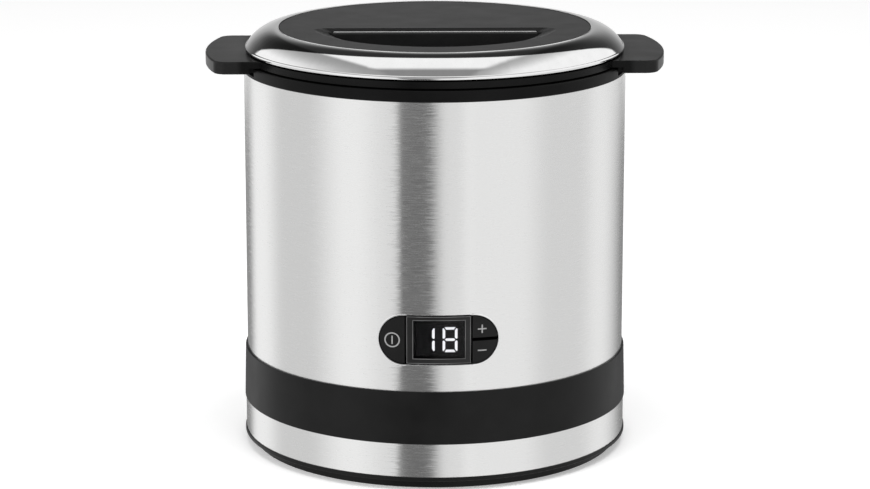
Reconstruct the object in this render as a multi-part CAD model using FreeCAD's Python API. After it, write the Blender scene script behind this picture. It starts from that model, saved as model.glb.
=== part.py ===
import FreeCAD, Part
import math
import os

# Small countertop frozen-yogurt maker, in millimetres.
# It stands on z = 0 with its control panel facing -Y and its two bowl ears along X.

# Outside of the housing
body_radius = 70.0
sleeve_wall = 0.6
lower_flare = 0.8             # the steel below the band is this much larger in radius
trim_proud = 0.4              # plastic rings stand this far beyond the steel
band_proud = 0.75             # the band's upper edge beyond the steel above it
foot_proud = 0.2              # rubber feet below the base rim
foot_rim_inset = 2.4
base_step_height = 3.2
base_rim_height = 1.5
lower_sleeve_height = 12.2
band_height = 19.2
upper_sleeve_height = 103.9
collar_height = 4.1
trim_edge = 0.3               # rounded edges of the plastic rings

# Lid and bowl rim
rim_gap = 0.6                 # shadow gap between collar and bowl rim
rim_height = 2.4
rim_inset = 0.7
lid_gap = 0.4
lid_height = 7.7
lid_cover_inset = 12.5        # black disc inside the plated ring's outside
lid_cover_thickness = 2.2
trim_ring_inset = 0.5
trim_ring_bulge = 1.9         # how far the plated ring bows out from a straight cone
trim_ring_wall = 2.0
trim_ring_nose = 0.5          # how far the ring's lower edge is rounded out
trim_ring_lip = 1.5           # height of that edge
refill_margin = 12.0          # half-moon opening inside the black disc's edge
refill_chord = -4.7
refill_corner = 4.0
funnel_inset = 5.5
funnel_depth = 1.5
chute_wall = 1.6
chute_depth = 6.0
chute_lip_drop = 1.4
chute_edge = 0.6
chute_corner = 1.5
lid_plate = 2.2
lid_plate_edge = 1.2
lid_plug_wall = 2.0
lid_plug_depth = 5.0
lid_plug_clearance = 1.4
lid_rest_width = 6.5
seal_width = 3.0
seal_height = 1.4
ear_length = 13.9             # ears beyond the body
ear_half_width = 28.8
ear_corner = 5.0
ear_thickness = 4.6
ear_edge = 0.6
key_half_width = 25.4
key_clearance = 0.6
key_outer_reach = 2.6
notch_depth = 3.0

# Freezer bowl
bowl_wall = 1.2
bowl_corner = 6.0             # inside rounding between the bowl's wall and floor
gel_thickness = 8.7
gel_floor = 6.4
gel_headroom = 8.0
outer_shell_wall = 1.6
shell_corner = 7.0            # outside rounding of the bowl's bottom edge
well_clearance = 1.0
well_wall = 2.0
well_room = 4.7               # air between the cup and the sleeve
well_floor = 2.5
flange_thickness = 2.0
flange_width = 1.5
seat_width = 2.4
skirt_depth = 8.0
skirt_wall = 1.8
spigot_wall = 1.2
spigot_drop = 21.0            # top of the bowl's spigot below the rim
stub_wall = 1.6
stub_height = 6.0

# Inner frame of the housing
spigot_depth = 6.4            # how far the band reaches into the upper sleeve
frame_wall = 2.4
deck_rise = 1.9
deck_thickness = 3.0
ledge_width = 4.9
ledge_height = 2.0
boss_inset = 7.4
boss_radius = 4.5
boss_count = 4
boss_bearing = 58.0           # degrees, first boss
rib_thickness = 1.2
base_floor = 2.0
upstand_height = 5.0
upstand_wall = 1.8
collar_spigot = 8.0

# Feet, vents and fasteners
foot_radius = 6.5
foot_edge = 0.15
foot_inset = 22.0
foot_count = 4
vent_count = 7
vent_length = 44.0
vent_width = 2.5
vent_pitch = 6.0
screw_radius = 1.5
screw_head_radius = 3.0
screw_head_height = 1.5
screw_length = 11.0
recess_share = 0.6            # cross recess, as a share of the head's radius
recess_width_share = 0.2
recess_depth_share = 0.6
small_screw_radius = 1.0
small_head_radius = 1.8
small_head_height = 1.0
small_screw_length = 4.6

# Control panel
panel_z = 55.15
panel_half_width = 21.2
panel_half_height = 9.0
panel_edge = 0.3              # rolled edge of the cut in the sleeve
panel_gap = 0.4
panel_sink = 0.1              # lens and buttons below the sleeve's face
lens_half_width = 11.4
lens_depth = 4.6
lens_flange = 1.5
lens_flange_rise = 1.4
lens_front = 2.4
display_width = 15.6
display_height = 12.8
display_offset = -0.3
lens_pocket_margin = 0.9
split_gap = 0.6
key_split_gap = 1.2
button_travel = 0.6
button_flange = 0.8
button_flange_lip = 1.0
button_back = 5.6             # depth of the cap's back below the sleeve's face
switch_size = 4.5
switch_height = 2.0
plunger_radius = 1.6
plunger_height = 0.3
board_thickness = 1.6
board_half_width = 22.0
board_margin = 1.2
board_screw_inset = 1.8
carrier_wall = 2.0
carrier_back = 2.0

# Cord gland in the rear of the band
gland_half_width = 7.0
gland_half_height = 6.0
gland_lip = 1.5
gland_lip_thickness = 2.2
gland_bore = 3.3

# Power board in the base
power_board_inset = 14.9      # board's outer end inside the frame
power_board_length = 44.0
power_board_width = 44.0
power_post_radius = 3.0
power_post_height = 4.8
power_post_inset = 4.0
transformer_size = (24.0, 22.0, 18.0)
winding_margin = 4.0          # core left bare round the winding
winding_proud = 1.6
transformer_place = (-4.0, 9.2)
capacitor_radius = 5.0
capacitor_height = 15.0
capacitor_edge = 0.8
capacitor_groove = 0.5
capacitor_groove_rise = 2.5
capacitor_place = (10.0, -14.0)
terminal_size = (9.0, 16.0, 10.0)
terminal_place = (-9.0, -12.0)
terminal_ways = 2
terminal_screw_radius = 1.8
terminal_wire_radius = 1.4
terminal_depth = 4.0

# Gear train from the motor to the drive shaft
pressure_angle = math.radians(20.0)
addendum = 0.9
dedendum = 1.25
backlash = 0.16
flank_points = 4              # points that each tooth flank is drawn through
mesh_slack = 0.1
motor_pinion_teeth = 12
first_wheel_teeth = 54
first_module = 0.6
first_face = 3.5
first_pinion_teeth = 14
second_wheel_teeth = 56
second_module = 0.8
second_face = 4.4
second_pinion_teeth = 14
output_teeth = 46
output_module = 1.0
output_face = 6.6
second_axis_bearing = 90.0    # degrees about the drive shaft
first_axis_bearing = -20.0    # degrees about the second axis
motor_bearing = -35.0         # degrees about the first axis
level_gap = 0.8
gear_hub_wall = 2.0
gear_pin_radius = 1.5
gear_pin_seat = 1.8
cover_thickness = 2.5
cover_margin = 6.5
post_radius = 3.5
post_clearance = 2.5
cover_post_bearings = (80.0, -140.0, -50.0)     # degrees from the second axis' bearing
motor_radius = 12.2
motor_length = 28.0
motor_nose_radius = 3.1
motor_nose_height = 2.0
motor_shaft_radius = 1.0
motor_shaft_depth = 14.0
motor_screw_spread = 8.0
motor_edge = 1.5

# Drive shaft and paddle
shaft_radius = 4.0
shaft_hex_height = 10.4
bush_wall = 1.2
tower_wall = 0.9
bush_height = 8.0
clip_thickness = 1.0
clip_width = 2.4
clip_groove = 1.0
drive_pin_radius = 1.0
drive_pin_length = 13.0
seal_lip_height = 4.0
paddle_hub_wall = 2.4
paddle_cap = 3.0
paddle_floor_gap = 0.8
paddle_wall_gap = 0.8
paddle_height = 39.0
paddle_bar = 5.0
paddle_thickness = 3.0
scraper_width = 13.0
scraper_thickness = 2.2
scraper_angle = 35.0

# Clearances between pieces
fit_gap = 0.1                 # pieces that are glued, clipped or screwed together
run_gap = 0.05                # shafts in their bearings
slide_gap = 0.3               # pieces that move past one another
air_gap = 1.0                 # moving pieces well clear of fixed ones
match_gap = 0.01              # edges are found by their place to within this

# Heights, from the table upwards
base_rim_z = foot_proud + base_step_height
base_top_z = base_rim_z + base_rim_height
base_floor_z = base_top_z - base_floor
band_z = base_top_z + lower_sleeve_height
band_top_z = band_z + band_height
sleeve_top_z = band_top_z + upper_sleeve_height
collar_top_z = sleeve_top_z + collar_height
rim_z = collar_top_z + rim_gap
rim_top_z = rim_z + rim_height
lid_z = rim_top_z + lid_gap
lid_top_z = lid_z + lid_height
deck_z = band_top_z + deck_rise
deck_top_z = deck_z + deck_thickness
first_wheel_z = deck_top_z + level_gap
second_wheel_z = first_wheel_z + first_face + level_gap
output_wheel_z = second_wheel_z + second_face + level_gap
gear_cover_z = output_wheel_z + output_face + level_gap
carrier_half_height = panel_half_height + lens_flange_rise + carrier_wall
well_z = max(gear_cover_z + cover_thickness, panel_z + carrier_half_height) + air_gap
well_floor_z = well_z + well_floor
flange_z = collar_top_z - flange_thickness
bowl_z = well_floor_z + slide_gap
bowl_floor_z = bowl_z + outer_shell_wall + gel_floor + 2 * fit_gap
bowl_inside_z = bowl_floor_z + bowl_wall
spigot_top_z = rim_z - spigot_drop
stub_top_z = well_floor_z + stub_height
hex_z = spigot_top_z
shaft_top_z = hex_z + shaft_hex_height
power_board_z = base_top_z + power_post_height

# Radii of the nested shells
sleeve_inner = body_radius - sleeve_wall
trim_radius = body_radius + trim_proud
lower_radius = body_radius + lower_flare
lower_inner = lower_radius - sleeve_wall
lower_trim = lower_radius + trim_proud
band_top_radius = body_radius + band_proud
frame_outer = sleeve_inner - fit_gap
frame_inner = frame_outer - frame_wall
rim_radius = body_radius - rim_inset
ear_reach = body_radius + ear_length
well_outer = sleeve_inner - well_room
well_inner = well_outer - well_wall
flange_radius = well_outer + flange_width
shell_outer = well_inner - well_clearance
shell_inner = shell_outer - outer_shell_wall
bowl_outer = shell_inner - gel_thickness - 2 * fit_gap
bowl_radius = bowl_outer - bowl_wall
trim_ring_radius = body_radius - trim_ring_inset
lid_cover_radius = trim_ring_radius - lid_cover_inset
refill_radius = lid_cover_radius - refill_margin
boss_circle = frame_inner - boss_inset
foot_circle = body_radius - foot_inset
bush_outer = shaft_radius + run_gap + bush_wall
seal_outer = bush_outer + fit_gap
stub_outer = seal_outer + fit_gap + stub_wall
spigot_inner = stub_outer + slide_gap
spigot_outer = spigot_inner + spigot_wall
hub_inner = spigot_outer + slide_gap
hub_outer = hub_inner + paddle_hub_wall
screw_hole = screw_radius + run_gap
small_hole = small_screw_radius + run_gap
pin_bore = gear_pin_radius + run_gap
chute_radius = refill_radius - funnel_inset
chute_chord = refill_chord - slide_gap - chute_wall
lid_cover_z = lid_top_z - lid_cover_thickness
power_board_x = power_board_inset + power_board_length / 2 - frame_inner

# Depths of the control panel, measured along Y from the axis
panel_face = body_radius - panel_sink
lens_back_y = -(body_radius - lens_depth)
button_back_y = -(body_radius - button_back)
button_flange_y = button_back_y + button_flange
plunger_y = button_flange_y + button_travel + run_gap
board_y = plunger_y + plunger_height + switch_height
board_back_y = board_y + board_thickness
cap_half_width = panel_half_width - panel_gap
cap_half_height = panel_half_height - panel_gap
carrier_hole = slide_gap
board_half_height = panel_half_height + board_margin
board_screw_x = board_half_width - board_screw_inset
board_screw_z = board_half_height - board_screw_inset


def point(x, y, z):
    return FreeCAD.Vector(x, y, z)


def polar(radius, degrees, centre=(0.0, 0.0)):
    angle = math.radians(degrees)
    return (centre[0] + radius * math.cos(angle), centre[1] + radius * math.sin(angle))


def disc(radius, z0, z1, at=(0.0, 0.0)):
    return Part.makeCylinder(radius, z1 - z0, point(at[0], at[1], z0))


def ring(inner, outer, z0, z1, at=(0.0, 0.0)):
    return disc(outer, z0, z1, at).cut(disc(inner, z0, z1, at))


def block(x0, x1, y0, y1, z0, z1):
    return Part.makeBox(x1 - x0, y1 - y0, z1 - z0, point(x0, y0, z0))


def rod(radius, start, end):
    return Part.makeCylinder(radius, (end - start).Length, start, end - start)


def joined(shapes):
    return shapes[0].multiFuse(shapes[1:]).removeSplitter()


def turned(outline):
    """Solid of revolution about Z from (radius, height) corners."""
    corners = [point(radius, 0, height) for radius, height in outline]
    face = Part.Face(Part.makePolygon(corners + corners[:1]))
    return face.revolve(point(0, 0, 0), point(0, 0, 1), 360)


def spun(shape, degrees, centre=(0.0, 0.0)):
    turned_copy = shape.copy()
    turned_copy.rotate(point(centre[0], centre[1], 0), point(0, 0, 1), degrees)
    return turned_copy


def round_edges(shape, radius, wanted):
    """Fillet the round edges about Z whose (radius, height) is listed."""
    picked = []
    for edge in shape.Edges:
        curve = edge.Curve
        if not isinstance(curve, Part.Circle):
            continue
        for edge_radius, height in wanted:
            if abs(curve.Radius - edge_radius) < match_gap and abs(curve.Center.z - height) < match_gap:
                picked.append(edge)
    return shape.makeFillet(radius, picked)


def pill(half_width, half_height, y0, y1):
    """Pill-shaped bar along Y, centred on the control panel."""
    straight = half_width - half_height
    top_left = point(-straight, y0, panel_z + half_height)
    top_right = point(straight, y0, panel_z + half_height)
    low_left = point(-straight, y0, panel_z - half_height)
    low_right = point(straight, y0, panel_z - half_height)
    edges = [
        Part.makeLine(top_left, top_right),
        Part.Arc(top_right, point(half_width, y0, panel_z), low_right).toShape(),
        Part.makeLine(low_right, low_left),
        Part.Arc(low_left, point(-half_width, y0, panel_z), top_left).toShape(),
    ]
    return Part.Face(Part.Wire(edges)).extrude(point(0, y1 - y0, 0))


def half_moon(radius, chord, corner, z):
    """Wire of a disc's front part, cut straight at y = chord, with rounded tips."""
    corner_y = chord - corner
    corner_x = math.sqrt((radius - corner) ** 2 - corner_y ** 2)
    reach = radius / (radius - corner)
    bend = math.atan2(corner_y, corner_x)
    middle = (bend + math.pi / 2) / 2
    mid_x = corner_x + corner * math.cos(middle)
    mid_y = corner_y + corner * math.sin(middle)
    right = point(corner_x * reach, corner_y * reach, z)
    left = point(-corner_x * reach, corner_y * reach, z)
    edges = [
        Part.makeLine(point(-corner_x, chord, z), point(corner_x, chord, z)),
        Part.Arc(point(corner_x, chord, z), point(mid_x, mid_y, z), right).toShape(),
        Part.Arc(right, point(0, -radius, z), left).toShape(),
        Part.Arc(left, point(-mid_x, mid_y, z), point(-corner_x, chord, z)).toShape(),
    ]
    return Part.Wire(edges)


def half_moon_bar(radius, chord, corner, z0, z1):
    return Part.Face(half_moon(radius, chord, corner, z0)).extrude(point(0, 0, z1 - z0))


def recess(radius, height, at, z, direction):
    """Cross recess that goes into a screw's head from z, in `direction` along Z."""
    reach = radius * recess_share
    half = radius * recess_width_share
    depth_z = z + direction * height * recess_depth_share
    low = min(z, depth_z)
    high = max(z, depth_z)
    bars = [(reach, half), (half, reach)]
    return joined([block(at[0] - x, at[0] + x, at[1] - y, at[1] + y, low, high) for x, y in bars])


def screw(at, seat_z, direction, radius, length, head_radius, head_height):
    """Screw along Z: its head sits on seat_z and its shank runs in `direction`."""
    seat = point(at[0], at[1], seat_z)
    head_z = seat_z - direction * head_height
    shank = rod(radius, seat, point(at[0], at[1], seat_z + direction * length))
    head = rod(head_radius, seat, point(at[0], at[1], head_z))
    return joined([shank, head]).cut(recess(head_radius, head_height, at, head_z, direction))


def small_screw(at, seat_z, head_height):
    """Small screw that goes down through seat_z."""
    return screw(at, seat_z, -1, small_screw_radius, small_screw_length, small_head_radius, head_height)


def boss_bearings():
    return [boss_bearing + 360 / boss_count * index for index in range(boss_count)]


def boss_places():
    return [polar(boss_circle, bearing) for bearing in boss_bearings()]


# Housing

def upper_sleeve():
    tube = ring(sleeve_inner, body_radius, band_top_z, sleeve_top_z)
    tube = tube.cut(pill(panel_half_width, panel_half_height, -trim_radius, button_back_y))
    rim = []
    for edge in tube.Edges:
        outside = all(abs(math.hypot(v.X, v.Y) - body_radius) < match_gap for v in edge.Vertexes)
        if outside and edge.CenterOfMass.y < -match_gap:
            rim.append(edge)
    return tube.makeFillet(panel_edge, rim)


def lower_sleeve():
    return ring(lower_inner, lower_radius, base_top_z, band_z)


def housing_band():
    outside = turned([(0, band_z), (lower_trim, band_z), (band_top_radius, band_top_z), (0, band_top_z)])
    outside = round_edges(outside, trim_edge, [(lower_trim, band_z), (band_top_radius, band_top_z)])
    spigot = disc(frame_outer, band_z, band_top_z + spigot_depth)
    skirt = disc(lower_inner - fit_gap, base_top_z + slide_gap, band_top_z)
    shell = joined([outside, spigot, skirt]).cut(disc(frame_inner, 0, lid_top_z))
    additions = [ring(frame_inner - ledge_width, frame_inner + fit_gap, deck_z - ledge_height, deck_z)]
    rib_bottom = base_top_z + upstand_height + air_gap
    rib_half = rib_thickness / 2
    rib = block(boss_circle, frame_inner + fit_gap, -rib_half, rib_half, rib_bottom, deck_z)
    for bearing in boss_bearings():
        additions.append(disc(boss_radius, base_top_z, deck_z, polar(boss_circle, bearing)))
        additions.append(spun(rib, bearing))
    frame = joined([shell] + additions)
    holes = [disc(screw_hole, base_top_z, deck_z, place) for place in boss_places()]
    holes.append(disc(motor_radius + air_gap, deck_z - ledge_height, deck_z, motor_axis()))
    gland_z = (band_z + band_top_z) / 2
    window = block(-gland_half_width, gland_half_width, frame_inner - ledge_width, lower_trim + air_gap,
                   gland_z - gland_half_height, gland_z + gland_half_height)
    return frame.cut(Part.makeCompound(holes)).cut(window)


def top_collar():
    recess = flange_radius + fit_gap
    throat = well_outer + fit_gap
    body = turned([
        (throat, sleeve_top_z),
        (throat, flange_z),
        (recess, flange_z),
        (recess, collar_top_z),
        (trim_radius - trim_edge, collar_top_z),
        (trim_radius, collar_top_z - trim_edge),
        (trim_radius, sleeve_top_z + trim_edge),
        (trim_radius - trim_edge, sleeve_top_z),
        (frame_outer, sleeve_top_z),
        (frame_outer, sleeve_top_z - collar_spigot),
        (frame_inner, sleeve_top_z - collar_spigot),
        (frame_inner, sleeve_top_z),
    ])
    notch_half = key_half_width + key_clearance
    slab = block(-ear_reach, ear_reach, -notch_half, notch_half, collar_top_z - notch_depth, rim_z)
    return body.cut(slab)


def inner_well():
    shaft_hole = shaft_radius + slide_gap
    seal_seat_z = stub_top_z - seal_lip_height
    cup = turned([
        (shaft_hole, well_z),
        (well_outer, well_z),
        (well_outer, flange_z),
        (flange_radius, flange_z),
        (flange_radius, collar_top_z),
        (well_inner, collar_top_z),
        (well_inner, well_floor_z),
        (stub_outer, well_floor_z),
        (stub_outer, stub_top_z),
        (seal_outer + fit_gap, stub_top_z),
        (seal_outer + fit_gap, seal_seat_z),
        (shaft_hole, seal_seat_z),
    ])
    cup = round_edges(cup, shell_corner, [(well_inner, well_floor_z)])
    return round_edges(cup, shell_corner + well_wall, [(well_outer, well_z)])


def shaft_seal():
    return ring(shaft_radius + run_gap, seal_outer, stub_top_z - seal_lip_height, stub_top_z)


def vent_slot(y):
    half = (vent_length - vent_width) / 2
    middle = block(-half, half, y - vent_width / 2, y + vent_width / 2, 0, base_top_z)
    ends = [disc(vent_width / 2, 0, base_top_z, (side * half, y)) for side in (-1, 1)]
    return joined([middle] + ends)


def power_post_places():
    half_length = power_board_length / 2 - power_post_inset
    half_width = power_board_width / 2 - power_post_inset
    return [(power_board_x + sx * half_length, sy * half_width) for sx in (-1, 1) for sy in (-1, 1)]


def base_plate():
    foot_outer = body_radius - foot_rim_inset
    upstand_outer = frame_inner - fit_gap
    plate = turned([
        (0, base_floor_z),
        (upstand_outer - upstand_wall, base_floor_z),
        (upstand_outer - upstand_wall, foot_proud),
        (foot_outer, foot_proud),
        (foot_outer, base_rim_z),
        (lower_trim, base_rim_z),
        (lower_trim, base_top_z),
        (upstand_outer, base_top_z),
        (upstand_outer, base_top_z + upstand_height),
        (upstand_outer - upstand_wall, base_top_z + upstand_height),
        (upstand_outer - upstand_wall, base_top_z),
        (0, base_top_z),
    ])
    plate = round_edges(plate, trim_edge, [(lower_trim, base_rim_z), (lower_trim, base_top_z)])
    posts = [disc(power_post_radius, base_top_z, power_board_z, place) for place in power_post_places()]
    plate = joined([plate] + posts)
    first_slot = -vent_pitch * (vent_count - 1) / 2
    openings = [vent_slot(first_slot + vent_pitch * index) for index in range(vent_count)]
    openings += [disc(screw_hole, 0, base_top_z, place) for place in boss_places()]
    openings += [disc(small_hole, base_top_z, power_board_z, place) for place in power_post_places()]
    return plate.cut(Part.makeCompound(openings))


def rubber_feet():
    feet = []
    for index in range(foot_count):
        foot = disc(foot_radius, 0, base_floor_z, polar(foot_circle, 360 / foot_count * index))
        feet.append(round_edges(foot, foot_edge, [(foot_radius, 0)]))
    return Part.makeCompound(feet)


def base_screws():
    return Part.makeCompound([
        screw(place, base_floor_z, 1, screw_radius, screw_length, screw_head_radius, screw_head_height)
        for place in boss_places()])


def cord_gland():
    gland_z = (band_z + band_top_z) / 2
    half_width = gland_half_width - fit_gap
    half_height = gland_half_height - fit_gap
    inner_face = math.sqrt(frame_inner ** 2 - (half_width + gland_lip) ** 2) - fit_gap
    lip_back = inner_face - gland_lip_thickness
    lip_width = half_width + gland_lip
    lip_height = half_height + gland_lip
    body = block(-half_width, half_width, lip_back, lower_trim, gland_z - half_height, gland_z + half_height)
    lip = block(-lip_width, lip_width, lip_back, inner_face, gland_z - lip_height, gland_z + lip_height)
    bush = joined([body, lip]).common(disc(lower_radius, base_top_z, deck_z))
    bore = rod(gland_bore, point(0, 0, gland_z), point(0, lower_trim, gland_z))
    return bush.cut(bore)


# Control panel

def panel_carrier():
    top = panel_z + carrier_half_height
    bottom = panel_z - carrier_half_height
    half_width = board_half_width + fit_gap + carrier_wall
    back = board_back_y + carrier_back
    front_limit = disc(sleeve_inner - fit_gap, deck_top_z, top)
    body = block(-half_width, half_width, -body_radius, back, bottom, top).common(front_limit)
    foot_reach = math.sqrt((frame_inner - fit_gap) ** 2 - half_width ** 2)
    foot = block(-half_width, half_width, -foot_reach, back, deck_top_z, bottom)
    body = joined([body, foot])
    tunnel = pill(cap_half_width + carrier_hole, cap_half_height + carrier_hole, -body_radius, back)
    room_height = board_half_height + fit_gap
    room = block(-board_half_width - fit_gap, board_half_width + fit_gap, button_back_y - run_gap, back,
                 panel_z - room_height, panel_z + room_height)
    posts = []
    for place_x, place_z in board_screw_places():
        posts.append(rod(small_head_radius, point(place_x, button_back_y - run_gap, place_z),
                         point(place_x, board_y, place_z)))
    flange_height = cap_half_height + lens_flange_rise + fit_gap
    flange_back = lens_back_y + fit_gap
    lens_room = block(-lens_half_width - fit_gap, lens_half_width + fit_gap, -body_radius, flange_back,
                      panel_z - flange_height, panel_z + flange_height)
    carrier = joined([body.cut(tunnel).cut(room).cut(lens_room)] + posts)
    holes = [rod(small_hole, point(x, button_back_y, z), point(x, board_y, z))
             for x, z in board_screw_places()]
    return carrier.cut(Part.makeCompound(holes))


def board_screw_places():
    return [(sx * board_screw_x, panel_z + sz * board_screw_z) for sx in (-1, 1) for sz in (-1, 1)]


def display_lens():
    front = disc(panel_face, 0, lid_top_z)
    window = block(-lens_half_width, lens_half_width, -body_radius, lens_back_y,
                   panel_z - cap_half_height, panel_z + cap_half_height).common(front)
    flange_height = cap_half_height + lens_flange_rise
    behind_sleeve = disc(sleeve_inner - fit_gap, 0, lid_top_z)
    flange = block(-lens_half_width, lens_half_width, lens_back_y - lens_flange, lens_back_y,
                   panel_z - flange_height, panel_z + flange_height).common(behind_sleeve)
    pocket_half_width = display_width / 2 + lens_pocket_margin
    pocket_half_height = display_height / 2 + lens_pocket_margin
    pocket = block(display_offset - pocket_half_width, display_offset + pocket_half_width,
                   -(panel_face - lens_front), lens_back_y,
                   panel_z - pocket_half_height, panel_z + pocket_half_height)
    return joined([window, flange]).cut(pocket)


def display_module():
    front_y = -(panel_face - lens_front) + slide_gap
    return block(display_offset - display_width / 2, display_offset + display_width / 2, front_y, board_y,
                 panel_z - display_height / 2, panel_z + display_height / 2)


def control_board():
    board = block(-board_half_width, board_half_width, board_y, board_back_y,
                  panel_z - board_half_height, panel_z + board_half_height)
    holes = [rod(small_hole, point(x, board_y, z), point(x, board_back_y, z))
             for x, z in board_screw_places()]
    return board.cut(Part.makeCompound(holes))


def board_screws():
    screws = []
    for x, z in board_screw_places():
        seat = point(x, board_back_y, z)
        shank = rod(small_screw_radius, seat, point(x, board_back_y - small_screw_length, z))
        head = rod(small_head_radius - fit_gap, seat, point(x, board_back_y + small_head_height, z))
        screws.append(joined([shank, head]))
    return Part.makeCompound(screws)


def switch_places():
    middle = (lens_half_width + split_gap + cap_half_width) / 2
    quarter = (key_split_gap / 2 + cap_half_height) / 2
    return [(-middle, panel_z), (middle, panel_z + quarter), (middle, panel_z - quarter)]


def tact_switches():
    switches = []
    for x, z in switch_places():
        half = switch_size / 2
        case = block(x - half, x + half, board_y - switch_height, board_y, z - half, z + half)
        plunger = rod(plunger_radius, point(x, board_y - switch_height, z), point(x, plunger_y, z))
        switches.append(joined([case, plunger]))
    return Part.makeCompound(switches)


def button_cap(x0, x1, z0, z1):
    """Part of the panel's pill within a window, with a flange behind the carrier's wall."""
    window = block(x0, x1, -trim_radius, 0, z0, z1)
    cap = pill(cap_half_width, cap_half_height, -body_radius, button_back_y)
    cap = cap.common(disc(panel_face, 0, lid_top_z)).common(window)
    flange_width = cap_half_width + button_flange_lip
    flange_height = cap_half_height + button_flange_lip
    flange = pill(flange_width, flange_height, button_back_y, button_flange_y).common(window)
    return joined([cap, flange])


def power_button():
    return button_cap(-body_radius, -lens_half_width - split_gap, base_top_z, lid_top_z)


def plus_button():
    return button_cap(lens_half_width + split_gap, body_radius, panel_z + key_split_gap / 2, lid_top_z)


def minus_button():
    return button_cap(lens_half_width + split_gap, body_radius, base_top_z, panel_z - key_split_gap / 2)


# Power board

def power_board():
    half_length = power_board_length / 2
    half_width = power_board_width / 2
    board = block(power_board_x - half_length, power_board_x + half_length, -half_width, half_width,
                  power_board_z, power_board_z + board_thickness)
    holes = [disc(small_hole, power_board_z, power_board_z + board_thickness, place)
             for place in power_post_places()]
    return board.cut(Part.makeCompound(holes))


def power_board_screws():
    seat_z = power_board_z + board_thickness
    return Part.makeCompound([small_screw(place, seat_z, small_head_height) for place in power_post_places()])


def on_power_board(size, place):
    length, width, height = size
    x = power_board_x + place[0]
    z = power_board_z + board_thickness
    return block(x - length / 2, x + length / 2, place[1] - width / 2, place[1] + width / 2, z, z + height)


def power_transformer():
    """Laminated core with the winding proud of it on both sides."""
    length, width, height = transformer_size
    core = on_power_board(transformer_size, transformer_place)
    winding_size = (length - 2 * winding_margin, width + 2 * winding_proud, height - winding_margin)
    return joined([core, on_power_board(winding_size, transformer_place)])


def cord_terminal():
    """Screw terminal: one screw from above and one wire hole from the side for each way."""
    length, width, height = terminal_size
    x = power_board_x + terminal_place[0]
    top = power_board_z + board_thickness + height
    side_x = x + length / 2
    wire_z = top - height / 2 - terminal_wire_radius
    holes = []
    for way in range(terminal_ways):
        y = terminal_place[1] + width * ((way + 0.5) / terminal_ways - 0.5)
        holes.append(disc(terminal_screw_radius, top - terminal_depth, top, (x, y)))
        entry = point(side_x, y, wire_z)
        holes.append(rod(terminal_wire_radius, entry - point(terminal_depth, 0, 0), entry))
    return on_power_board(terminal_size, terminal_place).cut(Part.makeCompound(holes))


def filter_capacitor():
    """Round can with a crimped groove near its foot."""
    place = (power_board_x + capacitor_place[0], capacitor_place[1])
    z = power_board_z + board_thickness
    top = z + capacitor_height
    can = round_edges(disc(capacitor_radius, z, top, place), capacitor_edge, [(capacitor_radius, top)])
    waist = capacitor_radius - capacitor_groove
    groove_z = z + capacitor_groove_rise
    groove_top = groove_z + 2 * capacitor_groove
    return can.cut(ring(waist, capacitor_radius + fit_gap, groove_z, groove_top, place))


# Gear train

def pitch_radius(module, teeth):
    return module * teeth / 2


def tip_radius(module, teeth):
    return pitch_radius(module, teeth) + addendum * module


def centre_distance(module, teeth_a, teeth_b):
    return pitch_radius(module, teeth_a + teeth_b) + mesh_slack


def second_axis():
    return polar(centre_distance(output_module, second_pinion_teeth, output_teeth), second_axis_bearing)


def first_axis():
    spread = centre_distance(second_module, first_pinion_teeth, second_wheel_teeth)
    return polar(spread, first_axis_bearing, second_axis())


def motor_axis():
    spread = centre_distance(first_module, motor_pinion_teeth, first_wheel_teeth)
    return polar(spread, motor_bearing, first_axis())


def meshed_phase(driver_phase, driver_teeth, driven_teeth, bearing):
    """Angle of a tooth of the driven gear, so that its gap meets the driver's tooth."""
    driver_fraction = (bearing - driver_phase) * driver_teeth / 360
    return bearing + 180 - (0.5 - driver_fraction) * 360 / driven_teeth


def involute(angle):
    return math.tan(angle) - angle


def gear_teeth(module, teeth, z0, z1, at, phase):
    """Toothed disc with involute flanks and one tooth centred on `phase` degrees."""
    pitch = pitch_radius(module, teeth)
    base = pitch * math.cos(pressure_angle)
    tip = tip_radius(module, teeth)
    root = pitch - dedendum * module
    half_at_pitch = math.pi / (2 * teeth) - backlash / (4 * pitch)

    def half_angle(radius):
        return half_at_pitch + involute(pressure_angle) - involute(math.acos(min(1.0, base / radius)))

    start = max(base, root)
    radii = [start + (tip - start) * step / (flank_points - 1) for step in range(flank_points)]
    step_angle = 2 * math.pi / teeth
    edges = []
    for tooth in range(teeth):
        middle = math.radians(phase) + tooth * step_angle

        def place(radius, angle):
            x, y = polar(radius, math.degrees(middle + angle), at)
            return point(x, y, z0)

        rising = [place(radius, -half_angle(radius)) for radius in radii]
        falling = [place(radius, half_angle(radius)) for radius in reversed(radii)]
        foot = half_angle(start)
        foot_in = place(root, -foot)
        foot_out = place(root, foot)
        next_foot = place(root, step_angle - foot)
        rise = Part.BSplineCurve()
        rise.interpolate(rising)
        fall = Part.BSplineCurve()
        fall.interpolate(falling)
        if start > root:
            edges.append(Part.makeLine(foot_in, rising[0]))
        edges.append(rise.toShape())
        edges.append(Part.Arc(rising[-1], place(tip, 0), falling[0]).toShape())
        edges.append(fall.toShape())
        if start > root:
            edges.append(Part.makeLine(falling[-1], foot_out))
        edges.append(Part.Arc(foot_out, place(root, step_angle / 2), next_foot).toShape())
    return Part.Face(Part.Wire(edges)).extrude(point(0, 0, z1 - z0))


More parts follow.
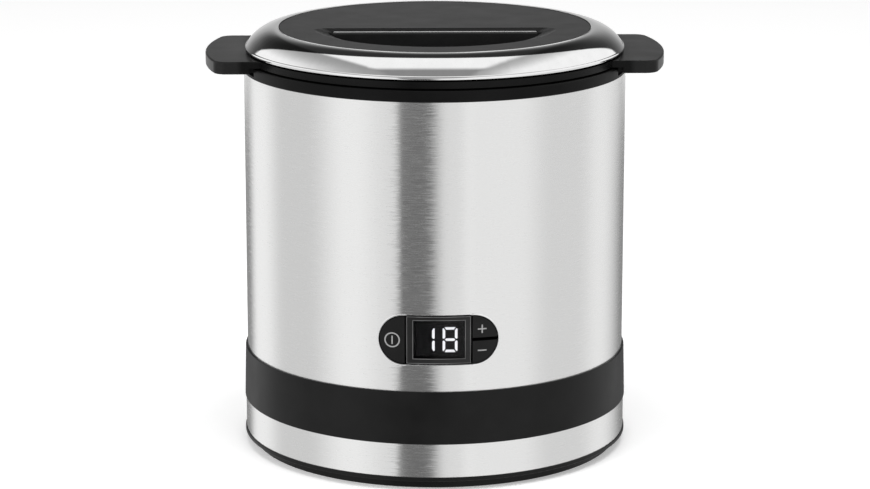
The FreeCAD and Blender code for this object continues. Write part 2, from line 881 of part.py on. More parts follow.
def gear_phases():
    """Tooth angles of the four meshing gears, from the output wheel back to the motor."""
    output_phase = 0.0
    second_pinion = meshed_phase(output_phase, output_teeth, second_pinion_teeth, second_axis_bearing)
    first_pinion = meshed_phase(second_pinion, second_wheel_teeth, first_pinion_teeth, first_axis_bearing)
    motor_pinion_phase = meshed_phase(first_pinion, first_wheel_teeth, motor_pinion_teeth, motor_bearing)
    return output_phase, second_pinion, first_pinion, motor_pinion_phase


def output_wheel():
    phase = gear_phases()[0]
    top = output_wheel_z + output_face
    teeth = gear_teeth(output_module, output_teeth, output_wheel_z, top, (0, 0), phase)
    bore = disc(shaft_radius + run_gap, 0, lid_top_z)
    half = drive_pin_length / 2 + fit_gap
    pin_half = drive_pin_radius + run_gap
    slot = block(-half, half, -pin_half, pin_half, drive_pin_z() - pin_half, gear_cover_z)
    return teeth.cut(bore).cut(slot)


def drive_pin_z():
    return output_wheel_z + output_face - drive_pin_radius - run_gap


def drive_pin():
    z = drive_pin_z()
    half = drive_pin_length / 2
    return rod(drive_pin_radius, point(-half, 0, z), point(half, 0, z))


def second_wheel():
    axis = second_axis()
    phase = gear_phases()[1]
    wheel_top = second_wheel_z + second_face
    wheel = gear_teeth(second_module, second_wheel_teeth, second_wheel_z, wheel_top, axis, phase)
    pinion_top = output_wheel_z + output_face
    pinion = gear_teeth(output_module, second_pinion_teeth, second_wheel_z, pinion_top, axis, phase)
    hub = disc(pin_bore + gear_hub_wall, first_wheel_z, second_wheel_z, axis)
    return joined([wheel, pinion, hub]).cut(disc(pin_bore, 0, lid_top_z, axis))


def first_wheel():
    axis = first_axis()
    phase = gear_phases()[2]
    wheel_top = first_wheel_z + first_face
    wheel = gear_teeth(first_module, first_wheel_teeth, first_wheel_z, wheel_top, axis, phase)
    pinion_top = second_wheel_z + second_face
    pinion = gear_teeth(second_module, first_pinion_teeth, first_wheel_z, pinion_top, axis, phase)
    return joined([wheel, pinion]).cut(disc(pin_bore, 0, lid_top_z, axis))


def motor_pinion():
    axis = motor_axis()
    phase = gear_phases()[3]
    top = first_wheel_z + first_face + level_gap
    pinion = gear_teeth(first_module, motor_pinion_teeth, first_wheel_z, top, axis, phase)
    return pinion.cut(disc(motor_shaft_radius + run_gap, 0, lid_top_z, axis))


def motor_shaft():
    top = first_wheel_z + first_face + level_gap
    return disc(motor_shaft_radius, deck_z - motor_shaft_depth, top, motor_axis())


def motor_screw_places():
    axis = motor_axis()
    return [polar(motor_screw_spread, motor_bearing + side * 90, axis) for side in (-1, 1)]


def motor():
    axis = motor_axis()
    can = disc(motor_radius, deck_z - motor_length, deck_z, axis)
    can = round_edges(can, motor_edge, [(motor_radius, deck_z - motor_length), (motor_radius, deck_z)])
    nose = disc(motor_nose_radius, deck_z, deck_z + motor_nose_height, axis)
    shape = joined([can, nose])
    screw_z = deck_z - small_screw_length
    holes = [disc(motor_shaft_radius + run_gap, deck_z - motor_shaft_depth, deck_top_z, axis)]
    holes += [disc(small_hole, screw_z, deck_z, place) for place in motor_screw_places()]
    return shape.cut(Part.makeCompound(holes))


def motor_screws():
    return Part.makeCompound([
        small_screw(place, deck_top_z, level_gap) for place in motor_screw_places()])


def gear_pin(axis):
    return disc(gear_pin_radius, deck_top_z - gear_pin_seat, gear_cover_z + gear_pin_seat, axis)


def first_pin():
    return gear_pin(first_axis())


def second_pin():
    return gear_pin(second_axis())


def cover_post_places():
    around_output = tip_radius(output_module, output_teeth) + post_radius + post_clearance
    around_second = tip_radius(second_module, second_wheel_teeth) + post_radius + post_clearance
    left, front, rear = (second_axis_bearing + bearing for bearing in cover_post_bearings)
    return [
        polar(around_output, left),
        polar(around_output, front),
        polar(around_second, rear, second_axis()),
    ]


def lower_bush_z():
    return output_wheel_z - level_gap - bush_height


def gear_deck():
    plate = disc(frame_inner - fit_gap, deck_z, deck_top_z)
    tower = disc(bush_outer + fit_gap + tower_wall, deck_z, output_wheel_z - level_gap)
    posts = [disc(post_radius, deck_top_z, gear_cover_z, place) for place in cover_post_places()]
    deck = joined([plate, tower] + posts)
    bore = joined([
        disc(shaft_radius + slide_gap, deck_z, gear_cover_z),
        disc(bush_outer + fit_gap, lower_bush_z(), gear_cover_z),
    ])
    holes = [bore, disc(motor_nose_radius + fit_gap, deck_z, deck_top_z, motor_axis())]
    pin_z = deck_top_z - gear_pin_seat
    holes += [disc(pin_bore, pin_z, deck_top_z, pin) for pin in (first_axis(), second_axis())]
    holes += [disc(screw_hole, deck_z, deck_top_z, place) for place in boss_places()]
    holes += [disc(small_hole, deck_z, deck_top_z, place) for place in motor_screw_places()]
    holes += [disc(small_hole, deck_top_z, gear_cover_z, place) for place in cover_post_places()]
    return deck.cut(Part.makeCompound(holes))


def deck_screws():
    return Part.makeCompound([
        screw(place, deck_top_z, -1, screw_radius, screw_length, screw_head_radius, screw_head_height)
        for place in boss_places()])


def gear_cover():
    corners = [point(x, y, gear_cover_z) for x, y in cover_post_places()]
    outline = Part.Face(Part.makePolygon(corners + corners[:1])).makeOffset2D(cover_margin)
    plate = outline.extrude(point(0, 0, cover_thickness))
    top = gear_cover_z + cover_thickness
    holes = [disc(bush_outer + fit_gap, gear_cover_z, top)]
    pin_top = gear_cover_z + gear_pin_seat
    holes += [disc(pin_bore, gear_cover_z, pin_top, pin) for pin in (first_axis(), second_axis())]
    holes += [disc(small_hole, gear_cover_z, top, place) for place in cover_post_places()]
    return plate.cut(Part.makeCompound(holes))


def gear_cover_screws():
    top = gear_cover_z + cover_thickness
    return Part.makeCompound([
        small_screw(place, top, level_gap) for place in cover_post_places()])


def lower_bush():
    return ring(shaft_radius + run_gap, bush_outer, lower_bush_z(), output_wheel_z - level_gap)


def upper_bush():
    return ring(shaft_radius + run_gap, bush_outer, gear_cover_z, gear_cover_z + cover_thickness)


def thrust_washer():
    return ring(shaft_radius + run_gap, bush_outer + tower_wall, output_wheel_z - level_gap, output_wheel_z)


def clip_z():
    return deck_z - air_gap - clip_thickness


def shaft_clip():
    groove = shaft_radius - clip_groove + run_gap
    return ring(groove, shaft_radius + clip_width, clip_z(), clip_z() + clip_thickness)


def hexagon(flat_radius, z0, z1):
    corners = [point(*polar(flat_radius / math.cos(math.pi / 6), 60 * index), z0) for index in range(7)]
    return Part.Face(Part.makePolygon(corners)).extrude(point(0, 0, z1 - z0))


def hex_flat_radius():
    return shaft_radius * math.cos(math.pi / 6)


def drive_shaft():
    bottom = clip_z() - air_gap
    shaft = disc(shaft_radius, bottom, hex_z)
    tip = hexagon(hex_flat_radius(), hex_z, shaft_top_z)
    body = joined([shaft, tip])
    groove_top = clip_z() + clip_thickness + run_gap
    groove = ring(shaft_radius - clip_groove, shaft_radius, clip_z() - run_gap, groove_top)
    z = drive_pin_z()
    pin_hole = rod(drive_pin_radius + run_gap, point(-shaft_radius, 0, z), point(shaft_radius, 0, z))
    return body.cut(groove).cut(pin_hole)


# Bowl and paddle

def bowl_inner_shell():
    shell = turned([
        (spigot_inner, bowl_z),
        (spigot_outer, bowl_z),
        (spigot_outer, bowl_floor_z),
        (bowl_outer, bowl_floor_z),
        (bowl_outer, rim_z),
        (bowl_radius, rim_z),
        (bowl_radius, bowl_inside_z),
        (spigot_outer, bowl_inside_z),
        (spigot_outer, spigot_top_z),
        (spigot_inner, spigot_top_z),
    ])
    shell = round_edges(shell, bowl_corner, [(bowl_radius, bowl_inside_z)])
    return round_edges(shell, bowl_corner + bowl_wall, [(bowl_outer, bowl_floor_z)])


def bowl_outer_shell():
    hole = spigot_outer + fit_gap
    floor_top = bowl_z + outer_shell_wall
    shell = turned([
        (hole, bowl_z),
        (shell_outer, bowl_z),
        (shell_outer, rim_z),
        (shell_inner, rim_z),
        (shell_inner, floor_top),
        (hole, floor_top),
    ])
    shell = round_edges(shell, shell_corner, [(shell_outer, bowl_z)])
    return round_edges(shell, shell_corner - outer_shell_wall, [(shell_inner, floor_top)])


def cooling_gel():
    inner = bowl_outer + fit_gap
    outer = shell_inner - fit_gap
    bottom = bowl_z + outer_shell_wall + fit_gap
    floor_top = bottom + gel_floor
    top = rim_z - skirt_depth - gel_headroom
    gel = turned([
        (spigot_outer + fit_gap, bottom),
        (outer, bottom),
        (outer, top),
        (inner, top),
        (inner, floor_top),
        (spigot_outer + fit_gap, floor_top),
    ])
    gel = round_edges(gel, shell_corner - outer_shell_wall - fit_gap, [(outer, bottom)])
    return round_edges(gel, bowl_corner + bowl_wall + fit_gap, [(inner, floor_top)])


def bowl_ear():
    bottom = rim_top_z - ear_thickness
    slab = block(shell_outer, ear_reach, -ear_half_width, ear_half_width, bottom, rim_top_z)
    plan = slab.common(disc(ear_reach, bottom, rim_top_z))
    outward = shell_outer + match_gap
    upright = [edge for edge in plan.Edges
               if edge.BoundBox.ZLength > ear_thickness / 2 and edge.CenterOfMass.x > outward]
    plan = plan.makeFillet(ear_corner, upright)
    level = [edge for edge in plan.Edges
             if edge.BoundBox.ZLength < match_gap and edge.CenterOfMass.x > outward]
    plan = plan.makeFillet(ear_edge, level)
    relief = disc(trim_radius + key_outer_reach, bottom, rim_z)
    key = block(shell_outer, ear_reach - ear_corner, -key_half_width, key_half_width, bottom, rim_z)
    key = key.cut(disc(flange_radius + fit_gap + key_clearance, bottom, rim_z))
    return plan.cut(relief.cut(key))


def bowl_rim():
    plate = ring(bowl_radius, rim_radius, rim_z, rim_top_z)
    seat = ring(flange_radius - seat_width - fit_gap, flange_radius - fit_gap, collar_top_z, rim_z)
    inner_skirt = bowl_outer + fit_gap
    outer_skirt = shell_inner - fit_gap
    ears = [bowl_ear(), spun(bowl_ear(), 180)]
    return joined([
        plate,
        seat,
        ring(inner_skirt, inner_skirt + skirt_wall, rim_z - skirt_depth, rim_z),
        ring(outer_skirt - skirt_wall, outer_skirt, rim_z - skirt_depth, rim_z),
    ] + ears)


def paddle_frame(bar_heights):
    """Open blade along +X from the hub to the scraper, with cross bars at the given heights."""
    bottom = bowl_inside_z + paddle_floor_gap
    reach = bowl_radius - paddle_wall_gap
    half = paddle_thickness / 2
    inside = hub_inner + paddle_hub_wall / 2
    scraper_middle = reach - scraper_width / 2 * math.sin(math.radians(scraper_angle)) - scraper_thickness
    bars = []
    for height in bar_heights:
        z = bottom + height
        bars.append(block(inside, scraper_middle, -half, half, z, z + paddle_bar))
    scraper = block(-scraper_thickness / 2, scraper_thickness / 2, -scraper_width / 2, scraper_width / 2,
                    bottom, bottom + paddle_height)
    scraper.rotate(point(0, 0, 0), point(0, 0, 1), -scraper_angle)
    scraper.translate(point(scraper_middle, 0, 0))
    swept = round_edges(disc(reach, bottom, rim_z), bowl_corner, [(reach, bottom)])
    return joined(bars + [scraper]).common(swept)


def paddle():
    bottom = bowl_inside_z + paddle_floor_gap
    hub = disc(hub_outer, bottom, shaft_top_z + paddle_cap)
    hub = round_edges(hub, paddle_cap / 2, [(hub_outer, shaft_top_z + paddle_cap)])
    hub = hub.cut(disc(hub_inner, bottom, spigot_top_z + slide_gap))
    hub = hub.cut(hexagon(hex_flat_radius() + fit_gap, spigot_top_z, shaft_top_z + slide_gap))
    top_bar = paddle_height - paddle_bar
    left = spun(paddle_frame([paddle_bar * 2, top_bar]), 180)
    right = paddle_frame([0, top_bar / 2 + paddle_bar / 2])
    return joined([hub, left, right])


# Lid

def lid_cover():
    plate = disc(lid_cover_radius, lid_cover_z, lid_top_z)
    wide = half_moon(refill_radius, refill_chord, refill_corner, lid_top_z)
    narrow = half_moon(chute_radius, refill_chord, chute_corner, lid_top_z - funnel_depth)
    funnel = Part.makeLoft([narrow, wide], True, True)
    throat = half_moon_bar(chute_radius, refill_chord, chute_corner, lid_cover_z, lid_top_z - funnel_depth)
    return plate.cut(funnel).cut(throat)


def trim_ring():
    inner = lid_cover_radius + fit_gap
    top = point(inner, 0, lid_top_z)
    edge = point(trim_ring_radius - trim_ring_nose, 0, lid_z + trim_ring_lip)
    foot = point(trim_ring_radius - trim_ring_nose, 0, lid_z)
    chord = edge - top
    outward = point(-chord.z, 0, chord.x) * (1 / chord.Length)
    crown = (top + edge) * 0.5 + outward * trim_ring_bulge
    inside_foot = foot - point(trim_ring_wall, 0, 0)
    inside_edge = edge - point(trim_ring_wall, 0, 0)
    inside_crown = crown - outward * trim_ring_wall
    inside_top = top - point(0, 0, trim_ring_wall)
    nose = point(trim_ring_radius, 0, lid_z + trim_ring_lip / 2)
    outline = [
        Part.Arc(top, crown, edge).toShape(),
        Part.Arc(edge, nose, foot).toShape(),
        Part.makeLine(foot, inside_foot),
        Part.makeLine(inside_foot, inside_edge),
        Part.Arc(inside_edge, inside_crown, inside_top).toShape(),
        Part.makeLine(inside_top, top),
    ]
    return Part.Face(Part.Wire(outline)).revolve(point(0, 0, 0), point(0, 0, 1), 360)


def lid_liner():
    plug_outer = bowl_radius - lid_plug_clearance
    plate_radius = trim_ring_radius - trim_ring_nose - trim_ring_wall - fit_gap
    plate_top = lid_z + lid_plate
    rest_outer = lid_cover_radius - fit_gap
    chute_z = lid_z - chute_depth
    chute_top = lid_cover_z - fit_gap
    lip_top = lid_top_z - chute_lip_drop
    outer_radius = chute_radius + chute_wall
    outer_chord = chute_chord + chute_wall
    corner_y = refill_chord - chute_corner
    lip_reach = math.sqrt((chute_radius - chute_corner) ** 2 - corner_y ** 2) - fit_gap
    lip = block(-lip_reach, lip_reach, chute_chord, outer_chord, chute_top, lip_top)
    lip_edges = [edge for edge in lip.Edges if edge.BoundBox.ZMin > lip_top - match_gap]
    lip = lip.makeFillet(chute_edge, lip_edges)
    body = joined([
        turned([
            (0, lid_z),
            (plate_radius, lid_z),
            (plate_radius, lid_z + lid_plate_edge),
            (plate_radius - trim_ring_wall, plate_top),
            (0, plate_top),
        ]),
        ring(plug_outer - lid_plug_wall, plug_outer, lid_z - lid_plug_depth, lid_z),
        ring(rest_outer - lid_rest_width, rest_outer, plate_top, lid_cover_z),
        half_moon_bar(outer_radius, outer_chord, chute_corner + chute_wall, chute_z, chute_top),
        lip,
    ])
    opening = half_moon_bar(chute_radius, chute_chord, chute_corner, chute_z, lip_top)
    groove = ring(seal_inner() - fit_gap, seal_inner() + seal_width + fit_gap, lid_z,
                  rim_top_z + seal_height + fit_gap)
    return body.cut(opening).cut(groove)


def seal_inner():
    return bowl_outer + fit_gap


def lid_seal():
    return ring(seal_inner(), seal_inner() + seal_width, rim_top_z, rim_top_z + seal_height)


NODES = [
    upper_sleeve, lower_sleeve, housing_band, top_collar, inner_well, shaft_seal,
    base_plate, rubber_feet, base_screws, cord_gland,
    panel_carrier, display_lens, display_module, control_board, board_screws, tact_switches,
    power_button, plus_button, minus_button,
    power_board, power_board_screws, power_transformer, cord_terminal, filter_capacitor,
    gear_deck, deck_screws, gear_cover, gear_cover_screws, lower_bush, upper_bush,
    motor, motor_screws, motor_shaft, motor_pinion,
    first_wheel, first_pin, second_wheel, second_pin,
    output_wheel, drive_shaft, drive_pin, thrust_washer, shaft_clip,
    bowl_inner_shell, bowl_outer_shell, cooling_gel, bowl_rim, paddle,
    trim_ring, lid_cover, lid_liner, lid_seal,
]

os.makedirs("parts", exist_ok=True)
for make in NODES:
    make().exportStep("parts/" + make.__name__ + ".step")
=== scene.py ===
import math

import bmesh
import bpy
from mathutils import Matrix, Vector


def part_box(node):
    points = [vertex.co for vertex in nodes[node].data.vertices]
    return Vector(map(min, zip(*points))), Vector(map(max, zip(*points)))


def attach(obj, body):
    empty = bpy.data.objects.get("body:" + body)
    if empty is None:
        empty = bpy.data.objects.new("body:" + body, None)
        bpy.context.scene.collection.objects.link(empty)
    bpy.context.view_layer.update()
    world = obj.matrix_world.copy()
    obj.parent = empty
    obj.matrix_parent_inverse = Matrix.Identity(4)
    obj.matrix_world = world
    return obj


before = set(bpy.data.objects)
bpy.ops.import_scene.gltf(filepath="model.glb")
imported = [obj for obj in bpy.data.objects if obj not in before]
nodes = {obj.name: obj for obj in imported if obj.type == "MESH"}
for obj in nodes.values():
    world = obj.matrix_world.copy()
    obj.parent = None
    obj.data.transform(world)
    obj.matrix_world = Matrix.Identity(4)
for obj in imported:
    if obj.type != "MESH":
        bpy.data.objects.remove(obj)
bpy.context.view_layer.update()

scene = bpy.context.scene

# Camera, fitted to the round edges in the photograph (metres and degrees, lens in millimetres)
CAMERA_DISTANCE = 1.1018
CAMERA_HEIGHT = 0.3391
CAMERA_AZIMUTH = -1.13
CAMERA_PITCH = 13.578
CAMERA_YAW = -0.005
CAMERA_LENS = 125.88
SENSOR_WIDTH = 36.0

# Faces of the solids that the scene's own pieces sit on (metres)
LENS_LOW, LENS_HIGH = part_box("display_lens")
PANEL_RADIUS = -LENS_LOW.y
PANEL_Z = (LENS_LOW.z + LENS_HIGH.z) / 2
DISPLAY_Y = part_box("display_module")[0].y
SLEEVE_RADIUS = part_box("upper_sleeve")[1].x
DISC_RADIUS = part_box("lid_cover")[1].x
DISC_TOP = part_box("lid_cover")[1].z
CHUTE_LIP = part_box("lid_liner")[1].z

# Printed marks of the buttons (metres)
MARKS_DROP = 0.00018
MARKS_Z = PANEL_Z - MARKS_DROP
MARK_STROKE = 0.00046
MARK_LIFT = 0.00003
MARK_THICKNESS = 0.00002
POWER_MARK_X = -0.01636
POWER_MARK_RADIUS = 0.0025
POWER_MARK_BAR = 0.0030
KEY_MARK_X = 0.01537
KEY_MARK_RISE = 0.0039
KEY_MARK_SIZE = 0.0031
BAR_STEPS = 8
HOOP_STEPS = 48

# Timer digits, and how much of a stroke each end of a segment is cut back (metres and shares)
TIMER_TEXT = "18"
SEGMENTS = {"1": "bc", "8": "abcdefg"}
DIGITS_DROP = 0.00032
DIGITS_Z = PANEL_Z - DIGITS_DROP
DIGIT_WIDTH = 0.0052
DIGIT_HEIGHT = 0.0091
DIGIT_STROKE = 0.0009
DIGIT_GAP = 0.00034
DIGIT_PITCH = 0.0080
DIGIT_RIGHT_X = 0.00404
DIGIT_LIFT = 0.00005
DIGIT_THICKNESS = 0.00004
UPRIGHT_LOW_CUT = 0.2
UPRIGHT_TOP_CUT = 0.35
BAR_END_CUT = 0.4

# Bevelled edge of the window: left, right, low and high from the panel's middle (metres)
BEVEL_OUTER = (-0.01122, 0.01122, -0.00845, 0.00845)
BEVEL_INNER = (-0.0091, 0.00942, -0.00683, 0.0072)
# Width of the pale lines along the bevel's edges, which are painted glints
BEVEL_GLINT_LINE = 0.00022
BEVEL_LIFT = 0.00002
BEVEL_THICKNESS = 0.000015
BEVEL_STEPS = 12

# Polished rolled edge of the panel's cut in the sleeve (metres)
CUT_HALF_WIDTH = 0.0212
CUT_HALF_HEIGHT = 0.0090
CUT_DEPTH = 0.0003
CUT_INSET = 0.00002
CUT_THICKNESS = 0.00002
CUT_BEAD_WIDTH = 0.00052
CUT_BEAD_RISE = 0.0001
CUT_BEAD_STEPS = 8
CUT_END_STEPS = 32

# Bright bead on the lip of the refill chute (metres, and the share of the radius left at its tips)
CHUTE_BEAD_REACH = 0.0370
CHUTE_BEAD_Y = -0.0058
CHUTE_BEAD_RISE = 0.0001
CHUTE_BEAD_Z = CHUTE_LIP + CHUTE_BEAD_RISE
CHUTE_BEAD_RADIUS = 0.00027
CHUTE_BEAD_TIP = 0.2
CHUTE_BEAD_SIDES = 12

# Bright inner edge of the plated ring, and the near-black gasket between it and the disc, which is
# painted shade for the gap (metres): how far each loop stands out from the disc's edge and lies below its
# top, and the radius of its round section
RING_EDGE = {"out": 0.00032, "down": 0.00002, "section": 0.00017}
DISC_GASKET_SHADE = {"out": 0.00001, "down": 0.00004, "section": 0.00014}
LOOP_STEPS = 192
LOOP_SIDES = 10

# Points nearer than this are one point (metres)
WELD_DISTANCE = 1e-7

# Part of a noise value's range that is used, and the cells of each pattern in a metre
NOISE_LOW = 0.3
NOISE_HIGH = 0.7
METAL_CLOUDS = 260.0
MOULD_CLOUDS = 90.0
MOULD_GRAIN = 2600.0
WINDOW_CLOUDS = 150.0
SEGMENT_CLOUDS = 900.0
BOARD_CELLS = 420.0

# Brushing: cells of its fine and broad lines in a radian around the axis and in a metre along it,
# the fine lines' share, the share by which they vary the roughness, how far they tip the normal
# to the sides, and the turn of the stretched reflections
FINE_BRUSHING = (14.0, 3800.0)
BROAD_BRUSHING = (7.0, 1500.0)
BRUSH_DETAIL = 0.6
FINE_SHARE = 0.7
BRUSH_UNEVEN = 0.55
BRUSH_SWAY = 0.022
BRUSH_TURN = 0.25

# Shares by which other finishes vary in roughness, depths of the grain in metres,
# and the ears of the bowl's rim, which are paler past their root with a painted sheen for the light they
# catch (metres)
METAL_UNEVEN = 0.2
MOULD_UNEVEN = 0.08
GRAIN_STRENGTH = 0.25
FINE_GRAIN = 0.00002
RUBBER_GRAIN = 0.00005
EAR_ROOT = 0.0705
# Blend width and share of the painted sheen on the ears
PAINTED_SHEEN_EDGE = 0.001
PAINTED_SHEEN_SHARE = 0.85

# Window, digits and boards
WINDOW_DARK = (0.28, 0.28, 0.29)
WINDOW_LIGHT = (0.32, 0.32, 0.33)
WINDOW_ROUGHNESS = 0.02
WINDOW_INDEX = 1.22
SEGMENT_DARK = (0.93, 0.94, 0.95)
SEGMENT_LIGHT = (1.0, 1.0, 1.0)
SEGMENT_GLOW = 3.1
BOARD_ROUGHNESS = 0.35

# Studio: a white dome with darker cards on it, seen only in reflections (metres and degrees).
# Each card stands on the bottom of the dome and has its azimuth from the front towards +X,
# the softness of its two sides, the elevation of its top and the softness there, and its level.
DOME_RADIUS = 1.3
DOME_HEIGHT = 0.1
DOME_STEP = 1.0
DOME_LOWEST = -70
DOME_HIGHEST = 89
CARDS = [
    {"azimuth": (-21, -6.5), "sides": (3, 12), "top": 0, "fade": 16, "level": 0.195},
    {"azimuth": (-27, 12), "sides": (22, 8), "top": 0, "fade": 16, "level": 0.84},
    {"azimuth": (-102, -82), "sides": (22, 28), "top": 5, "fade": 10, "level": 0.71},
    {"azimuth": (72, 92), "sides": (22, 22), "top": 5, "fade": 10, "level": 0.82},
    {"azimuth": (24, 150), "sides": (10, 20), "top": 5, "fade": 10, "level": 0.93},
    {"azimuth": (157, 205), "sides": (40, 20), "top": -11, "fade": 4, "level": 0.27},
]

# Overhead softbox on the dome, measured on a ceiling one unit above the object: each side has its edge,
# the dim level just past it and how far out it is white again, and a grey panel lies in front.
# It fades in upwards from a low elevation (degrees).
SOFTBOX_LEFT = {"edge": -0.46, "level": 0.35, "fade": 1.2}
SOFTBOX_RIGHT = {"edge": 0.35, "level": 0.42, "fade": 0.5}
SOFTBOX_BLUR = 0.1
SOFTBOX_FRONT = -0.12
FRONT_BLUR = 0.26
FRONT_LEVEL = 0.27
SOFTBOX_FROM = 10
SOFTBOX_FADE = 12

# Dark arch at the back of the dome with a glow in it (degrees, shares of the arch's size, levels)
ARCH_HALF_WIDTH = 40
ARCH_HEIGHT = 59
ARCH_POWER = 4
ARCH_EDGE = 0.06
ARCH_FADE = 8
ARCH_LEVEL = 0.03
GLOW_LEVEL = 0.72
GLOW_ELEVATION = 1
GLOW_SIZE = (25, 16)

# Floor, world and lamps (metres and watts)
FLOOR_SIZE = 6.0
FLOOR_TONE = 0.95
FLOOR_ROUGHNESS = 0.9
FLOOR_GLOW = 0.35
WORLD_LEVEL = 0.55
LAMP_AIM = Vector((0, 0, 0.08))
TOP_LAMP = {"place": (0.1, -0.25, 1.5), "size": 1.1, "power": 11.0}
LEFT_LAMP = {"place": (-1.1, -1.0, 0.9), "size": 0.7, "power": 6.0}


# Shader nodes

def principled(name):
    material = bpy.data.materials.new(name)
    material.use_nodes = True
    tree = material.node_tree
    return material, tree, tree.nodes["Principled BSDF"]


def object_coords(tree):
    return tree.nodes.new("ShaderNodeTexCoord").outputs["Object"]


def object_parts(tree):
    """X, Y and Z of the object's coordinates."""
    parts = tree.nodes.new("ShaderNodeSeparateXYZ")
    tree.links.new(object_coords(tree), parts.inputs["Vector"])
    return parts.outputs


def math_node(tree, operation, first, second):
    node = tree.nodes.new("ShaderNodeMath")
    node.operation = operation
    for socket, value in zip(node.inputs, (first, second)):
        if isinstance(value, (int, float)):
            socket.default_value = value
        else:
            tree.links.new(value, socket)
    return node.outputs["Value"]


def weighted(tree, first, second, share):
    """Sum of two values, of which the first has this share."""
    return math_node(tree, "ADD", math_node(tree, "MULTIPLY", first, share),
                     math_node(tree, "MULTIPLY", second, 1 - share))


def noise(tree, vector, scale, detail=2.0, roughness=0.5):
    texture = tree.nodes.new("ShaderNodeTexNoise")
    texture.inputs["Scale"].default_value = scale
    texture.inputs["Detail"].default_value = detail
    texture.inputs["Roughness"].default_value = roughness
    tree.links.new(vector, texture.inputs["Vector"])
    return texture.outputs["Fac"]


def map_range(tree, value, from_low, from_high, low=0.0, high=1.0):
    node = tree.nodes.new("ShaderNodeMapRange")
    node.inputs["From Min"].default_value = from_low
    node.inputs["From Max"].default_value = from_high
    node.inputs["To Min"].default_value = low
    node.inputs["To Max"].default_value = high
    tree.links.new(value, node.inputs["Value"])
    return node.outputs["Result"]


def spread(tree, value, low=0.0, high=1.0):
    """Maps the middle of a noise value onto low to high."""
    return map_range(tree, value, NOISE_LOW, NOISE_HIGH, low, high)


def tint(tree, value, dark, light):
    node = tree.nodes.new("ShaderNodeMix")
    node.data_type = "RGBA"
    node.inputs["A"].default_value = (*dark, 1.0)
    node.inputs["B"].default_value = (*light, 1.0)
    tree.links.new(value, node.inputs["Factor"])
    return node.outputs["Result"]


def colour(tree, shader, value, dark, light):
    tree.links.new(tint(tree, value, dark, light), shader.inputs["Base Color"])


def roughen(tree, shader, value, roughness, uneven):
    """Roughness that a noise value varies by the share uneven, to both sides."""
    varied = spread(tree, value, roughness * (1 - uneven), roughness * (1 + uneven))
    tree.links.new(varied, shader.inputs["Roughness"])


def bump(tree, shader, height, strength, distance):
    node = tree.nodes.new("ShaderNodeBump")
    node.inputs["Strength"].default_value = strength
    node.inputs["Distance"].default_value = distance
    tree.links.new(height, node.inputs["Height"])
    tree.links.new(node.outputs["Normal"], shader.inputs["Normal"])


def around_axis(tree, along, across):
    """Coordinates drawn out around Z, as round brushing is."""
    parts = object_parts(tree)
    angle = math_node(tree, "ARCTAN2", parts["X"], parts["Y"])
    joined = tree.nodes.new("ShaderNodeCombineXYZ")
    tree.links.new(math_node(tree, "MULTIPLY", angle, along), joined.inputs["X"])
    tree.links.new(math_node(tree, "MULTIPLY", parts["Z"], across), joined.inputs["Y"])
    return joined.outputs["Vector"]


def sway_normal(tree, shader, tangent, grain):
    """Tips the normal to the sides with the brushing lines."""
    sway = tree.nodes.new("ShaderNodeVectorMath")
    sway.operation = "MULTIPLY_ADD"
    tree.links.new(tangent, sway.inputs[0])
    tree.links.new(spread(tree, grain, -BRUSH_SWAY, BRUSH_SWAY), sway.inputs[1])
    tree.links.new(tree.nodes.new("ShaderNodeNewGeometry").outputs["Normal"], sway.inputs[2])
    level = tree.nodes.new("ShaderNodeVectorMath")
    level.operation = "NORMALIZE"
    tree.links.new(sway.outputs["Vector"], level.inputs[0])
    tree.links.new(level.outputs["Vector"], shader.inputs["Normal"])


def beyond(tree, reach):
    """0 in the middle and 1 further than reach along X to either side."""
    # Mask of the painted sheen on the ears of the bowl's rim
    aside = math_node(tree, "ABSOLUTE", object_parts(tree)["X"], 0.0)
    return map_range(tree, aside, reach - PAINTED_SHEEN_EDGE, reach + PAINTED_SHEEN_EDGE)


# Materials

def grey(tone):
    return (tone, tone, tone)


def brushed_metal(name, dark, light, roughness, anisotropy):
    """Metal brushed in lines around Z."""
    material, tree, shader = principled(name)
    fine = noise(tree, around_axis(tree, *FINE_BRUSHING), scale=1.0, detail=3.0, roughness=BRUSH_DETAIL)
    broad = noise(tree, around_axis(tree, *BROAD_BRUSHING), scale=1.0, detail=2.0, roughness=BRUSH_DETAIL)
    grain = weighted(tree, fine, broad, FINE_SHARE)
    colour(tree, shader, spread(tree, grain), dark, light)
    roughen(tree, shader, grain, roughness, BRUSH_UNEVEN)
    tangent = tree.nodes.new("ShaderNodeTangent")
    tangent.direction_type = "RADIAL"
    tangent.axis = "Z"
    tree.links.new(tangent.outputs["Tangent"], shader.inputs["Tangent"])
    sway_normal(tree, shader, tangent.outputs["Tangent"], grain)
    shader.inputs["Metallic"].default_value = 1.0
    shader.inputs["Anisotropic"].default_value = anisotropy
    shader.inputs["Anisotropic Rotation"].default_value = BRUSH_TURN
    return material


def plain_metal(name, dark, light, roughness):
    """Metal with a faint cloudiness."""
    material, tree, shader = principled(name)
    cloud = noise(tree, object_coords(tree), METAL_CLOUDS, detail=3.0)
    colour(tree, shader, spread(tree, cloud), dark, light)
    roughen(tree, shader, cloud, roughness, METAL_UNEVEN)
    shader.inputs["Metallic"].default_value = 1.0
    return material


